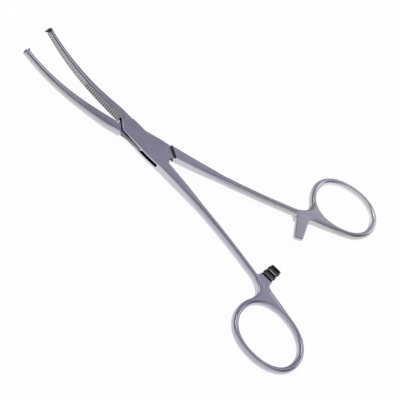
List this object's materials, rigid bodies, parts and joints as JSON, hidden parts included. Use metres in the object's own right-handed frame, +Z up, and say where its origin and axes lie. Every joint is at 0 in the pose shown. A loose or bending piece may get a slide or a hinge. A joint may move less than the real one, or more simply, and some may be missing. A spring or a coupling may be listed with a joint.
{
  "type": "curved locking haemostatic forceps",
  "caption": "Curved ring-handled haemostatic forceps with serrated toothed jaws, a box lock and a ratchet catch.",
  "frame": {"origin": "on the pivot axis of the box lock, at the underside of the lock", "axes": "+X from the lock towards the finger rings, so the jaws point to -X; +Z up, the way the jaw tips curve, along the pivot axis; Y across the handles"},
  "size_m": [0.1556, 0.0968, 0.0137],
  "materials": {
    "forged_steel": "satin polished stainless steel, darker at the serrations and in the lock",
    "pin_steel": "satin polished stainless steel, ground flush with the lock"
  },
  "bodies": {
    "mortise_body": {"mortise_half": "forged_steel", "lock_pin": "pin_steel"},
    "tenon_body": {"tenon_half": "forged_steel"}
  },
  "joints": [
    {"name": "lock_hinge", "type": "hinge", "parent": "mortise_body", "child": "tenon_body", "pos_m": [0, 0, 0], "axis": [0, 0, 1], "range_deg": [-14.16, 30]}
  ]
}
